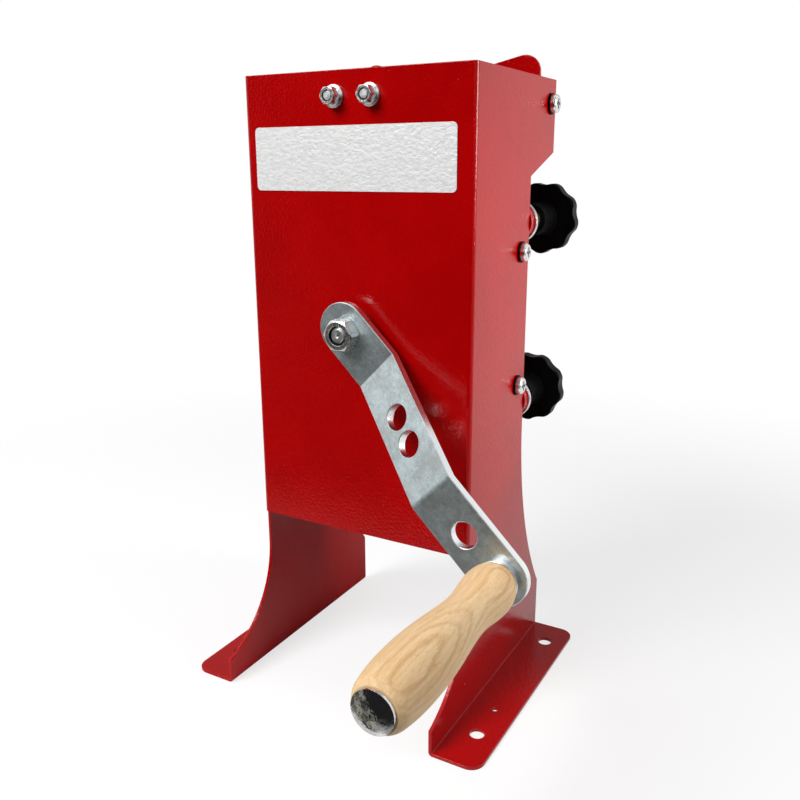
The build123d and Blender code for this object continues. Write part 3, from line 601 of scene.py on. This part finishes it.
sweep = bmesh.new()
bmesh.ops.create_grid(sweep, x_segments=FLOOR_CELLS, y_segments=FLOOR_CELLS, size=FLOOR_HALF)
floor_mesh = bpy.data.meshes.new("paper_sweep")
sweep.to_mesh(floor_mesh)
sweep.free()
floor = bpy.data.objects.new("paper_sweep", floor_mesh)
bpy.context.scene.collection.objects.link(floor)
paper, paper_shader, place = new_finish("white_paper", {"Roughness": 0.75, "Specular IOR Level": 0.2})
reach = place.node("VectorMath", {"operation": "LENGTH"}, {0: place}, out="Value")
front_cut = step_up(along(place, "Y"), PAPER_FRONT - PAPER_FADE, PAPER_FRONT)
laid = front_cut * (1 - step_up(reach, *PAPER_FAR))
seen, mirrored = rays_at(place)
# Mirrored rays see the right-hand strip white and lifted, as a painted reflection.
looked_at = seen + mirrored * step_up(along(place, "X"), *MIRROR_WHITE_SIDE)
feed(paper_shader, base_color=blend(looked_at, PAPER_SHADE, WHITE))
lit_paper = Wire(paper.node_tree, paper_shader.outputs[0])
glow = place.node("Emission", sockets={"Color": WHITE, "Strength": 1.0})
lifted = place.node("MixShader", sockets={0: looked_at * PAPER_LIFT, 1: lit_paper, 2: glow})
nothing = place.node("BsdfTransparent")
shown_as(
    paper.node_tree, "Material Output", place.node("MixShader", sockets={0: laid, 1: nothing, 2: lifted})
)
floor_mesh.materials.append(paper)

# Surroundings
# The camera sees plain white. Glossy faces mirror a room that is white but for a dim front with a window
# under a grey ceiling, a duller corner at the back left, and a mottled floor low on the left.
ROOM_DIM = (0.018, 0.018, 0.019, 1)
ROOM_GREY = (0.20, 0.20, 0.195, 1)
ROOM_CEILING = (0.34, 0.34, 0.34, 1)
ROOM_LIGHT = (0.40, 0.40, 0.40, 1)
FLOOR_DARK = (0.05, 0.05, 0.045, 1)
FLOOR_DULL = (0.44, 0.425, 0.36, 1)
CLUTTER_SCALE = 2.6
MOTTLE_SCALE = 5.0
# Each of these is a direction, and the cosines off it where the place begins and where it is full.
DIM_FRONT = (Vector((0.45, -0.893, 0.0)), 0.08, 0.36)
WINDOW = (Vector((0.40, -0.83, 0.39)), 0.95, 0.97)
BACK_LEFT = (Vector((-0.476, 0.838, 0.267)), 0.60, 0.85)
LOW_LEFT = (Vector((-0.72, -0.40, -0.567)), 0.80, 0.90)


def towards(view, direction, begins, full):
    return step_up(dot(view, direction), begins, full)


room = bpy.data.worlds.new("white_room")
room.use_nodes = True
bpy.context.scene.world = room
view = Wire(room.node_tree).node("TexCoord", out="Generated")
height = along(view, "Z")
clutter = step_up(noise(view, CLUTTER_SCALE, 3, 0.6), 0.42, 0.66) * step_up(height, -0.05, 0.30)
dim_side = blend(step_up(height, 0.15, 0.75), blend(clutter, ROOM_DIM, ROOM_GREY), ROOM_CEILING)
low_left = towards(view, *LOW_LEFT)
dull_floor = blend(step_up(noise(view, MOTTLE_SCALE, 3, 0.6), 0.40, 0.66), FLOOR_DARK, FLOOR_DULL)
walls = blend(step_up(along(view, "Y"), -0.80, -0.40), dim_side, ROOM_LIGHT)
lit_room = view.node("Background", sockets={"Color": blend(low_left, walls, dull_floor), "Strength": 1.0})
plain_white = view.node("Background", sockets={"Color": WHITE, "Strength": 1.0})
seen, mirrored = rays_at(view)
white_walls = (1 - towards(view, *DIM_FRONT)) * (1 - towards(view, *BACK_LEFT)) * (1 - low_left)
white_share = seen + mirrored * (white_walls + towards(view, *WINDOW))
shown_as(
    room.node_tree,
    "World Output",
    view.node("MixShader", sockets={0: white_share, 1: lit_room, 2: plain_white}),
)

# Lamps
# One large soft box above and in front, and a small one with a grid close to the right-hand side. Each has
# its place, what it points at, its width, its spread in degrees and its power in watts.
LAMPS = (
    ("key_box", Vector((-0.7, -1.5, 1.65)), Vector((0.0, 0.0, 0.2)), 1.2, 180, 47.0),
    ("side_box", Vector((0.72, 0.1, 0.46)), Vector((0.085, 0.0, 0.31)), 0.28, 56, 0.48),
)
for name, stand, aim, width, spread, power in LAMPS:
    lamp_data = bpy.data.lights.new(name, "AREA")
    lamp_data.shape = "DISK"
    lamp_data.size = width
    lamp_data.spread = math.radians(spread)
    lamp_data.energy = power
    lamp = bpy.data.objects.new(name, lamp_data)
    lamp.location = stand
    lamp.visible_camera = False
    lamp.rotation_euler = (aim - stand).to_track_quat("-Z", "Y").to_euler()
    bpy.context.scene.collection.objects.link(lamp)

# Camera
# Right of the front and a little above, as the photograph was taken.
EYE = Vector((0.2973, -0.5127, 0.37085))
HEADING = math.radians(29.58)
PITCH = math.radians(15.49)
ROLL = math.radians(-0.21)
FOCAL_PIXELS = 837.2
IMAGE_PIXELS = 800
NEAREST_SEEN = 0.01
ahead = Vector((
    -math.sin(HEADING) * math.cos(PITCH),
    math.cos(HEADING) * math.cos(PITCH),
    -math.sin(PITCH),
))
level = Vector((math.cos(HEADING), math.sin(HEADING), 0.0))
upright = level.cross(ahead)
right = level * math.cos(ROLL) + upright * math.sin(ROLL)
up = upright * math.cos(ROLL) - level * math.sin(ROLL)
camera_data = bpy.data.cameras.new("camera")
camera_data.sensor_fit = "HORIZONTAL"
camera_data.lens = camera_data.sensor_width * FOCAL_PIXELS / IMAGE_PIXELS
camera_data.clip_start = NEAREST_SEEN
camera = bpy.data.objects.new("camera", camera_data)
camera.matrix_world = Matrix.Translation(EYE) @ Matrix((right, up, -ahead)).transposed().to_4x4()
bpy.context.scene.collection.objects.link(camera)
bpy.context.scene.camera = camera
bpy.context.scene.view_settings.view_transform = "Standard"
